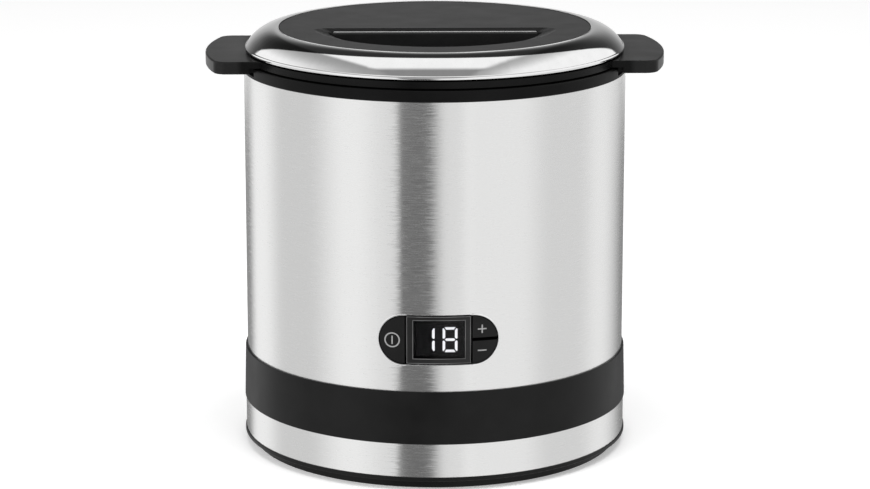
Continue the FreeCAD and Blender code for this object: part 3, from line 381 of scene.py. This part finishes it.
def moulded(name, dark, light, roughness, gloss, grain=FINE_GRAIN, painted_sheen_beyond=None):
    """Moulded plastic or rubber with an uneven tone and a fine grain, paler past the given reach along X,
    where a painted sheen stands in for light caught there.
    """
    material, tree, shader = principled(name)
    coords = object_coords(tree)
    cloud = noise(tree, coords, MOULD_CLOUDS)
    skin = noise(tree, coords, MOULD_GRAIN)
    tone = spread(tree, cloud)
    # Painted sheen: paler tone past the reach along X, for light that the ears catch
    if painted_sheen_beyond:
        tone = weighted(tree, beyond(tree, painted_sheen_beyond), tone, PAINTED_SHEEN_SHARE)
    colour(tree, shader, tone, dark, light)
    roughen(tree, shader, cloud, roughness, MOULD_UNEVEN)
    bump(tree, shader, skin, GRAIN_STRENGTH, grain)
    shader.inputs["Specular IOR Level"].default_value = gloss
    return material


def smoked_window(name):
    """Smoked clear plastic; its index is set so that the window is as dark as in the photograph."""
    material, tree, shader = principled(name)
    cloud = noise(tree, object_coords(tree), WINDOW_CLOUDS)
    colour(tree, shader, spread(tree, cloud), WINDOW_DARK, WINDOW_LIGHT)
    tree.links.new(spread(tree, cloud, 0.0, WINDOW_ROUGHNESS), shader.inputs["Roughness"])
    shader.inputs["Transmission Weight"].default_value = 1.0
    shader.inputs["IOR"].default_value = WINDOW_INDEX
    return material


def lit_segment(name):
    """Glowing white segment of the timer."""
    material, tree, shader = principled(name)
    cloud = noise(tree, object_coords(tree), SEGMENT_CLOUDS)
    glow = tint(tree, spread(tree, cloud), SEGMENT_DARK, SEGMENT_LIGHT)
    tree.links.new(glow, shader.inputs["Base Color"])
    tree.links.new(glow, shader.inputs["Emission Color"])
    shader.inputs["Emission Strength"].default_value = SEGMENT_GLOW
    return material


def circuit_board(name, dark, light):
    """Lacquered board with a pattern of straight-edged cells."""
    material, tree, shader = principled(name)
    cells = tree.nodes.new("ShaderNodeTexVoronoi")
    cells.inputs["Scale"].default_value = BOARD_CELLS
    cells.distance = "MANHATTAN"
    tree.links.new(object_coords(tree), cells.inputs["Vector"])
    colour(tree, shader, spread(tree, cells.outputs["Distance"]), dark, light)
    shader.inputs["Roughness"].default_value = BOARD_ROUGHNESS
    return material


# Finishes of the CAD nodes

def dress(material, *names):
    for name in names:
        slots = nodes[name].data.materials
        slots.clear()
        slots.append(material)


def dress_body():
    steel = brushed_metal("sleeve_steel", (0.81, 0.81, 0.805), (0.85, 0.85, 0.845),
                          roughness=0.21, anisotropy=0.88)
    dress(steel, "upper_sleeve", "lower_sleeve")
    dress(moulded("ring_black", grey(0.005), grey(0.008), roughness=0.4, gloss=0.18),
          "housing_band", "base_plate", "panel_carrier")
    dress(moulded("collar_black", grey(0.003), grey(0.005), roughness=0.42, gloss=0.11), "top_collar")
    dress(moulded("well_grey", (0.05, 0.05, 0.053), (0.065, 0.065, 0.068), roughness=0.45, gloss=0.4),
          "inner_well", "bowl_outer_shell")
    dress(moulded("soft_rubber", grey(0.012), grey(0.02), roughness=0.75, gloss=0.3, grain=RUBBER_GRAIN),
          "rubber_feet", "cord_gland", "shaft_seal")


def dress_lid():
    dress(plain_metal("plated_chrome", grey(0.86), grey(0.9), roughness=0.05), "trim_ring")
    dress(moulded("lid_black", grey(0.030), grey(0.036), roughness=0.42, gloss=0.27), "lid_cover")
    dress(moulded("liner_black", grey(0.014), grey(0.018), roughness=0.3, gloss=0.4), "lid_liner")
    dress(moulded("seal_silicone", grey(0.36), grey(0.44), roughness=0.5, gloss=0.4), "lid_seal")


def dress_bowl():
    metal = brushed_metal("bowl_metal", (0.66, 0.66, 0.67), (0.78, 0.78, 0.79),
                          roughness=0.3, anisotropy=0.6)
    dress(metal, "bowl_inner_shell")
    # The ears of the rim are paler past their root: a painted sheen for the light they catch
    dress(moulded("rim_black", grey(0.004), grey(0.018), roughness=0.3, gloss=0.1, painted_sheen_beyond=EAR_ROOT),
          "bowl_rim")
    dress(moulded("gel_blue", (0.20, 0.42, 0.62), (0.26, 0.50, 0.70), roughness=0.3, gloss=0.5),
          "cooling_gel")
    dress(moulded("paddle_white", (0.70, 0.70, 0.69), (0.76, 0.76, 0.75), roughness=0.38, gloss=0.45),
          "paddle")


def dress_panel():
    dress(smoked_window("window"), "display_lens")
    dress(moulded("button_black", grey(0.006), grey(0.009), roughness=0.45, gloss=0.2),
          "power_button", "plus_button", "minus_button")
    dress(moulded("display_black", grey(0.035), grey(0.045), roughness=0.5, gloss=0.1), "display_module")


def dress_drive():
    dress(moulded("frame_white", (0.62, 0.62, 0.60), (0.70, 0.70, 0.68), roughness=0.5, gloss=0.4),
          "gear_deck", "gear_cover")
    dress(moulded("gear_white", (0.74, 0.74, 0.70), (0.80, 0.80, 0.76), roughness=0.4, gloss=0.4),
          "first_wheel", "second_wheel", "output_wheel")
    dress(plain_metal("screw_steel", (0.52, 0.52, 0.53), (0.62, 0.62, 0.63), roughness=0.32),
          "base_screws", "board_screws", "power_board_screws", "deck_screws", "gear_cover_screws",
          "motor_screws", "first_pin", "second_pin", "thrust_washer", "shaft_clip", "drive_pin",
          "drive_shaft", "motor_shaft")
    dress(plain_metal("brass", (0.58, 0.40, 0.16), (0.68, 0.48, 0.20), roughness=0.3),
          "motor_pinion", "lower_bush", "upper_bush")
    dress(plain_metal("zinc_case", (0.42, 0.42, 0.43), (0.52, 0.52, 0.53), roughness=0.4),
          "motor", "power_transformer")


def dress_boards():
    dress(circuit_board("board_black", (0.004, 0.004, 0.005), (0.012, 0.012, 0.013)), "control_board")
    dress(circuit_board("board_green", (0.01, 0.07, 0.03), (0.03, 0.16, 0.07)), "power_board")
    dress(moulded("part_black", grey(0.002), grey(0.004), roughness=0.5, gloss=0.1),
          "tact_switches", "cord_terminal", "filter_capacitor")


# Meshes of the scene's own pieces

def mesh_piece(name, faces, material, body, thickness=0.0):
    """Piece from lists of corner points, riding on a body; a sheet is given a thickness."""
    mesh = bpy.data.meshes.new(name)
    build = bmesh.new()
    for points in faces:
        build.faces.new([build.verts.new(point) for point in points])
    bmesh.ops.remove_doubles(build, verts=build.verts, dist=WELD_DISTANCE)
    bmesh.ops.recalc_face_normals(build, faces=build.faces)
    build.to_mesh(mesh)
    build.free()
    piece = bpy.data.objects.new(name, mesh)
    scene.collection.objects.link(piece)
    mesh.materials.append(material)
    if thickness:
        wall = piece.modifiers.new("wall", "SOLIDIFY")
        wall.thickness = thickness
        wall.offset = 0.0
    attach(piece, body)


def row_faces(rows, rows_close=False, points_close=False):
    """Faces between neighbouring rows of points; rows and the points in a row may close on themselves."""
    count = len(rows[0])
    after_rows = rows[1:] + rows[:1] if rows_close else rows[1:]
    sides = count if points_close else count - 1
    faces = []
    for near, far in zip(rows, after_rows):
        for side in range(sides):
            after = (side + 1) % count
            faces.append([near[side], far[side], far[after], near[after]])
    return faces


def on_panel(x, z, radius):
    """Point on a round face about Z, at the front."""
    return Vector((x, -math.sqrt(radius * radius - x * x), z))


# Marks on the buttons

def bar_faces(x, z, width, height, radius):
    """Printed bar about (x, z) on the panel's round face."""
    rows = []
    for step in range(BAR_STEPS + 1):
        place = x + width * (step / BAR_STEPS - 0.5)
        rows.append([on_panel(place, z - height / 2, radius), on_panel(place, z + height / 2, radius)])
    return row_faces(rows)


def hoop_faces(x, z, middle_radius, width, radius):
    """Printed hoop about (x, z) on the panel's round face."""
    rows = []
    for step in range(HOOP_STEPS):
        angle = 2 * math.pi * step / HOOP_STEPS
        row = []
        for reach in (middle_radius - width / 2, middle_radius + width / 2):
            row.append(on_panel(x + reach * math.cos(angle), z + reach * math.sin(angle), radius))
        rows.append(row)
    return row_faces(rows, rows_close=True)


def panel_marks():
    ink = moulded("mark_grey", grey(0.34), grey(0.40), roughness=0.5, gloss=0.2)
    radius = PANEL_RADIUS + MARK_LIFT
    power = hoop_faces(POWER_MARK_X, MARKS_Z, POWER_MARK_RADIUS, MARK_STROKE, radius)
    power += bar_faces(POWER_MARK_X, MARKS_Z, MARK_STROKE, POWER_MARK_BAR, radius)
    mesh_piece("power_mark", power, ink, "power_key", MARK_THICKNESS)
    plus_z = MARKS_Z + KEY_MARK_RISE
    arm = (KEY_MARK_SIZE - MARK_STROKE) / 2
    arm_rise = (KEY_MARK_SIZE + MARK_STROKE) / 4
    plus = bar_faces(KEY_MARK_X, plus_z, KEY_MARK_SIZE, MARK_STROKE, radius)
    plus += bar_faces(KEY_MARK_X, plus_z + arm_rise, MARK_STROKE, arm, radius)
    plus += bar_faces(KEY_MARK_X, plus_z - arm_rise, MARK_STROKE, arm, radius)
    mesh_piece("plus_mark", plus, ink, "plus_key", MARK_THICKNESS)
    minus = bar_faces(KEY_MARK_X, MARKS_Z - KEY_MARK_RISE, KEY_MARK_SIZE, MARK_STROKE, radius)
    mesh_piece("minus_mark", minus, ink, "minus_key", MARK_THICKNESS)


# Bevelled edge of the window

def corners(span, grow=0.0):
    """Corner points of a rectangle that is grown on all sides, in order round it."""
    left, right, low, high = span
    return [(left - grow, low - grow), (right + grow, low - grow),
            (right + grow, high + grow), (left - grow, high + grow)]


def strip_faces(start, end, radius):
    """Strip on the panel's round face between two pairs of (x, z) points."""
    rows = []
    for step in range(BEVEL_STEPS + 1):
        share = step / BEVEL_STEPS
        row = []
        for (x0, z0), (x1, z1) in zip(start, end):
            row.append(on_panel(x0 + (x1 - x0) * share, PANEL_Z + z0 + (z1 - z0) * share, radius))
        rows.append(row)
    return row_faces(rows)


def border_faces(outer, inner, radius):
    """Border on the panel's round face between two rectangles' corners."""
    pairs = list(zip(outer, inner))
    faces = []
    for start, end in zip(pairs, pairs[1:] + pairs[:1]):
        faces += strip_faces(start, end, radius)
    return faces


def window_edges():
    """Bevelled edge of the display window, and pale grey lines along its edges that are painted glints.
    """
    radius = PANEL_RADIUS + BEVEL_LIFT
    smoke = moulded("bevel_smoke", grey(0.017), grey(0.021), roughness=0.2, gloss=0.2)
    bevel = border_faces(corners(BEVEL_OUTER), corners(BEVEL_INNER), radius)
    mesh_piece("window_bevel", bevel, smoke, "housing", BEVEL_THICKNESS)
    # Painted glints: pale grey strips standing in for light caught on the bevel's edges
    bright = moulded("bevel_painted_glint", grey(0.05), grey(0.18), roughness=0.35, gloss=0.3)
    half = BEVEL_GLINT_LINE / 2
    lines = []
    for span in (BEVEL_OUTER, BEVEL_INNER):
        lines += border_faces(corners(span, half), corners(span, -half), radius + BEVEL_LIFT)
    mesh_piece("window_painted_glints", lines, bright, "housing", BEVEL_THICKNESS)


# Rolled edge of the panel's cut

def cut_outline():
    """Middle of the round end and direction outwards, for points in order round the cut."""
    straight = CUT_HALF_WIDTH - CUT_HALF_HEIGHT
    outline = []
    for side in (1, -1):
        for step in range(CUT_END_STEPS + 1):
            turn = math.pi * (step / CUT_END_STEPS - 0.5)
            outline.append((side * straight, side * math.cos(turn), side * math.sin(turn)))
    return outline


def cut_profile():
    """Distance outwards and rise above the sleeve: up from the cut's depth and over the bead."""
    profile = [(-CUT_INSET, -CUT_DEPTH)]
    for step in range(CUT_BEAD_STEPS + 1):
        share = step / CUT_BEAD_STEPS
        profile.append((CUT_BEAD_WIDTH * share - CUT_INSET, 4 * CUT_BEAD_RISE * share * (1 - share)))
    return profile


def cut_edge():
    """Polished rolled edge round the panel's cut in the sleeve."""
    rows = []
    for middle, out_x, out_z in cut_outline():
        row = []
        for out, rise in cut_profile():
            reach = CUT_HALF_HEIGHT + out
            row.append(on_panel(middle + reach * out_x, PANEL_Z + reach * out_z, SLEEVE_RADIUS + rise))
        rows.append(row)
    polished = plain_metal("edge_steel", grey(0.88), grey(0.93), roughness=0.18)
    mesh_piece("panel_cut_edge", row_faces(rows, rows_close=True), polished, "housing",
               CUT_THICKNESS)


# Beads of the lid

def chute_bead():
    """Bright bead along the lip of the refill chute, with drawn-in tips."""
    full_reach = CHUTE_BEAD_REACH - CHUTE_BEAD_RADIUS
    tip_radius = CHUTE_BEAD_RADIUS * CHUTE_BEAD_TIP
    stations = [(-CHUTE_BEAD_REACH, tip_radius), (-full_reach, CHUTE_BEAD_RADIUS),
                (full_reach, CHUTE_BEAD_RADIUS), (CHUTE_BEAD_REACH, tip_radius)]
    rows = []
    for x, radius in stations:
        row = []
        for side in range(CHUTE_BEAD_SIDES):
            roll = 2 * math.pi * side / CHUTE_BEAD_SIDES
            y = CHUTE_BEAD_Y + radius * math.cos(roll)
            z = CHUTE_BEAD_Z + radius * math.sin(roll)
            row.append(Vector((x, y, z)))
        rows.append(row)
    faces = [rows[0], rows[-1]] + row_faces(rows, points_close=True)
    bright = plain_metal("bead_chrome", grey(0.76), grey(0.82), roughness=0.25)
    mesh_piece("chute_bead", faces, bright, "lid")


def loop_faces(out, down, section):
    """Round bead in a full circle along the edge of the lid's disc."""
    rows = []
    for step in range(LOOP_STEPS):
        turn = 2 * math.pi * step / LOOP_STEPS
        row = []
        for side in range(LOOP_SIDES):
            roll = 2 * math.pi * side / LOOP_SIDES
            reach = DISC_RADIUS + out + section * math.cos(roll)
            z = DISC_TOP - down + section * math.sin(roll)
            row.append(Vector((reach * math.cos(turn), reach * math.sin(turn), z)))
        rows.append(row)
    return row_faces(rows, rows_close=True, points_close=True)


def lid_loops():
    """Bright rolled inner edge of the plated ring, and a near-black gasket between it and the disc, which
    is painted shade for the gap.
    """
    bright = plain_metal("edge_chrome", grey(0.86), grey(0.9), roughness=0.12)
    mesh_piece("ring_edge", loop_faces(**RING_EDGE), bright, "lid")
    # Painted shade: a near-black bead that darkens the gap between the ring and the disc
    gasket_shade = moulded("gasket_painted_shade", grey(0.002), grey(0.003), roughness=0.6, gloss=0.1)
    mesh_piece("disc_gasket_shade", loop_faces(**DISC_GASKET_SHADE), gasket_shade, "lid")


# Timer digits

def flipped(points, across, up):
    return [(x * across, z * up) for x, z in points]


def segment_outlines():
    """Outline of each segment about the digit's middle, as (x, z) points, mitred at the ends."""
    stroke = DIGIT_STROKE
    gap = DIGIT_GAP
    right = DIGIT_WIDTH / 2
    top = DIGIT_HEIGHT / 2
    inner = right - stroke
    corner = stroke * UPRIGHT_TOP_CUT
    upright = [(right, gap + stroke * UPRIGHT_LOW_CUT), (right, top - gap - corner),
               (right - corner, top - gap), (inner, top - stroke - gap),
               (inner, stroke / 2 + gap), (right - stroke / 2, gap)]
    bar = inner - gap
    bar_top = right - gap - stroke * BAR_END_CUT
    top_bar = [(-bar_top, top), (bar_top, top), (bar, top - stroke), (-bar, top - stroke)]
    half = stroke / 2
    tip = bar + half
    middle_bar = [(-tip, 0), (-bar, half), (bar, half), (tip, 0), (bar, -half), (-bar, -half)]
    return {
        "a": top_bar,
        "b": upright,
        "c": flipped(upright, 1, -1),
        "d": flipped(top_bar, 1, -1),
        "e": flipped(upright, -1, -1),
        "f": flipped(upright, -1, 1),
        "g": middle_bar,
    }


def timer_digits():
    """Lit segments of the timer, on the face of the display."""
    y = DISPLAY_Y - DIGIT_LIFT
    outlines = segment_outlines()
    faces = []
    for place, character in enumerate(TIMER_TEXT):
        middle = DIGIT_RIGHT_X - DIGIT_PITCH * (len(TIMER_TEXT) - 1 - place)
        for key in SEGMENTS[character]:
            faces.append([Vector((middle + x, y, DIGITS_Z + z)) for x, z in outlines[key]])
    lit = lit_segment("segment_lit")
    mesh_piece("timer_digits", faces, lit, "housing", DIGIT_THICKNESS)


# Levels of the studio dome

def smooth(share):
    """Eased step from 0 to 1."""
    share = max(0.0, min(1.0, share))
    return share * share * (3 - 2 * share)


def within(value, span, soft):
    """1 within span, falling to 0 over the softness at each end."""
    low, high = span
    return smooth(min((value - low + soft[0]) / soft[0], (high + soft[1] - value) / soft[1]))


def overhead_level(azimuth, elevation):
    """Level of the ceiling: the softbox, the panel in front of it and the dimmer parts beside it."""
    slope = 1 / math.tan(math.radians(max(elevation, SOFTBOX_FROM)))
    aside = slope * math.sin(math.radians(azimuth))
    back = -slope * math.cos(math.radians(azimuth))
    if aside > (SOFTBOX_LEFT["edge"] + SOFTBOX_RIGHT["edge"]) / 2:
        side = SOFTBOX_RIGHT
        past = aside - side["edge"]
    else:
        side = SOFTBOX_LEFT
        past = side["edge"] - aside
    box = 1 - smooth((SOFTBOX_FRONT - back) / FRONT_BLUR) * (1 - FRONT_LEVEL)
    beside = 1 - (1 - side["level"]) * (1 - smooth(past / side["fade"]))
    share = smooth(past / SOFTBOX_BLUR + 0.5)
    level = box * (1 - share) + beside * share
    return 1 - (1 - level) * smooth((elevation - SOFTBOX_FROM) / SOFTBOX_FADE)


def card_level(card, azimuth, elevation):
    """Level of one card: 1 outside it."""
    turn = azimuth + 360 if azimuth < card["azimuth"][0] - card["sides"][0] else azimuth
    share = within(turn, card["azimuth"], card["sides"])
    share *= smooth((card["top"] + card["fade"] - elevation) / card["fade"])
    return 1 - share * (1 - card["level"])


def arch_level(azimuth, elevation):
    """Level of the dark arch at the back and the glow in it: 1 outside it."""
    from_back = 180 - abs(azimuth)
    across = from_back / ARCH_HALF_WIDTH
    up = max(0, elevation) / ARCH_HEIGHT
    reach = (across ** ARCH_POWER + up ** ARCH_POWER) ** (1 / ARCH_POWER)
    share = smooth((1 - reach) / ARCH_EDGE) * smooth((elevation + ARCH_FADE) / ARCH_FADE)
    off_glow = math.hypot(from_back / GLOW_SIZE[0], (elevation - GLOW_ELEVATION) / GLOW_SIZE[1])
    inside = ARCH_LEVEL + GLOW_LEVEL * math.exp(-off_glow * off_glow)
    return 1 - share * (1 - inside)


def dome_level(azimuth, elevation):
    level = overhead_level(azimuth, elevation)
    for card in CARDS:
        level *= card_level(card, azimuth, elevation)
    return level * arch_level(azimuth, elevation)


# Studio

def dome_mesh():
    """Dome with its levels painted on its points."""
    columns = [DOME_STEP * step - 180 for step in range(int(360 / DOME_STEP) + 1)]
    row_count = int((DOME_HIGHEST - DOME_LOWEST) / DOME_STEP) + 1
    rows = [DOME_LOWEST + DOME_STEP * step for step in range(row_count)]
    points = []
    levels = []
    for azimuth in columns:
        turn = math.radians(azimuth)
        for elevation in rows:
            rise = math.radians(elevation)
            reach = DOME_RADIUS * math.cos(rise)
            z = DOME_HEIGHT + DOME_RADIUS * math.sin(rise)
            points.append((reach * math.sin(turn), -reach * math.cos(turn), z))
            levels.append(dome_level(azimuth, elevation))
    faces = []
    for column in range(len(columns) - 1):
        for row in range(row_count - 1):
            first = column * row_count + row
            faces.append((first, first + row_count, first + row_count + 1, first + 1))
    mesh = bpy.data.meshes.new("studio_dome")
    mesh.from_pydata(points, [], faces)
    paint = mesh.color_attributes.new("level", "FLOAT_COLOR", "POINT")
    for place, level in zip(paint.data, levels):
        place.color = (level, level, level, 1.0)
    return mesh


def dome_material():
    """Emission of the painted level."""
    material = bpy.data.materials.new("studio_dome")
    material.use_nodes = True
    tree = material.node_tree
    tree.nodes.clear()
    painted = tree.nodes.new("ShaderNodeVertexColor")
    painted.layer_name = "level"
    glow = tree.nodes.new("ShaderNodeEmission")
    out = tree.nodes.new("ShaderNodeOutputMaterial")
    tree.links.new(painted.outputs["Color"], glow.inputs["Color"])
    tree.links.new(glow.outputs["Emission"], out.inputs["Surface"])
    return material


def studio_dome():
    """White dome round the object with soft-edged darker parts, seen only in reflections."""
    mesh = dome_mesh()
    mesh.materials.append(dome_material())
    dome = bpy.data.objects.new("studio_dome", mesh)
    scene.collection.objects.link(dome)
    dome.visible_camera = False
    dome.visible_diffuse = False
    dome.visible_shadow = False
    dome.visible_transmission = False


def floor():
    half = FLOOR_SIZE / 2
    points = [(-half, -half, 0), (half, -half, 0), (half, half, 0), (-half, half, 0)]
    mesh = bpy.data.meshes.new("floor")
    mesh.from_pydata(points, [], [(0, 1, 2, 3)])
    piece = bpy.data.objects.new("floor", mesh)
    scene.collection.objects.link(piece)
    material, _, shader = principled("floor_white")
    shader.inputs["Base Color"].default_value = (*grey(FLOOR_TONE), 1.0)
    shader.inputs["Roughness"].default_value = FLOOR_ROUGHNESS
    shader.inputs["Specular IOR Level"].default_value = 0.0
    shader.inputs["Emission Color"].default_value = (1.0, 1.0, 1.0, 1.0)
    shader.inputs["Emission Strength"].default_value = FLOOR_GLOW
    mesh.materials.append(material)
    piece.visible_glossy = False


def white_world():
    """White where the camera, gloss or glass sees it, and a plain level of light elsewhere."""
    world = bpy.data.worlds.new("studio")
    scene.world = world
    world.use_nodes = True
    tree = world.node_tree
    tree.nodes.clear()
    outputs = tree.nodes.new("ShaderNodeLightPath").outputs
    by_surface = math_node(tree, "MAXIMUM", outputs["Is Glossy Ray"], outputs["Is Transmission Ray"])
    seen = math_node(tree, "MAXIMUM", outputs["Is Camera Ray"], by_surface)
    soft = tree.nodes.new("ShaderNodeBackground")
    soft.inputs["Strength"].default_value = WORLD_LEVEL
    white = tree.nodes.new("ShaderNodeBackground")
    white.inputs["Color"].default_value = (1.0, 1.0, 1.0, 1.0)
    white.inputs["Strength"].default_value = 1.0
    mix = tree.nodes.new("ShaderNodeMixShader")
    out = tree.nodes.new("ShaderNodeOutputWorld")
    tree.links.new(seen, mix.inputs["Fac"])
    tree.links.new(soft.outputs["Background"], mix.inputs[1])
    tree.links.new(white.outputs["Background"], mix.inputs[2])
    tree.links.new(mix.outputs["Shader"], out.inputs["Surface"])


def lamp(name, place, size, power):
    """Round soft lamp aimed at the object."""
    disk = bpy.data.lights.new(name, "AREA")
    disk.shape = "DISK"
    disk.size = size
    disk.energy = power
    light = bpy.data.objects.new(name, disk)
    scene.collection.objects.link(light)
    light.location = place
    aim = LAMP_AIM - Vector(place)
    light.rotation_euler = aim.to_track_quat("-Z", "Y").to_euler()
    light.visible_glossy = False


def camera():
    view = bpy.data.cameras.new("camera")
    view.lens = CAMERA_LENS
    view.sensor_width = SENSOR_WIDTH
    view.sensor_fit = "HORIZONTAL"
    eye = bpy.data.objects.new("camera", view)
    scene.collection.objects.link(eye)
    turn = math.radians(CAMERA_AZIMUTH)
    eye.location = (CAMERA_DISTANCE * math.sin(turn), -CAMERA_DISTANCE * math.cos(turn), CAMERA_HEIGHT)
    eye.rotation_euler = (math.radians(90 - CAMERA_PITCH), 0, math.radians(CAMERA_AZIMUTH + CAMERA_YAW))
    scene.camera = eye


dress_body()
dress_lid()
dress_bowl()
dress_panel()
dress_drive()
dress_boards()
panel_marks()
window_edges()
cut_edge()
chute_bead()
lid_loops()
timer_digits()
studio_dome()
floor()
white_world()
lamp("top_softbox", **TOP_LAMP)
lamp("left_softbox", **LEFT_LAMP)
camera()
scene.view_settings.view_transform = "Standard"
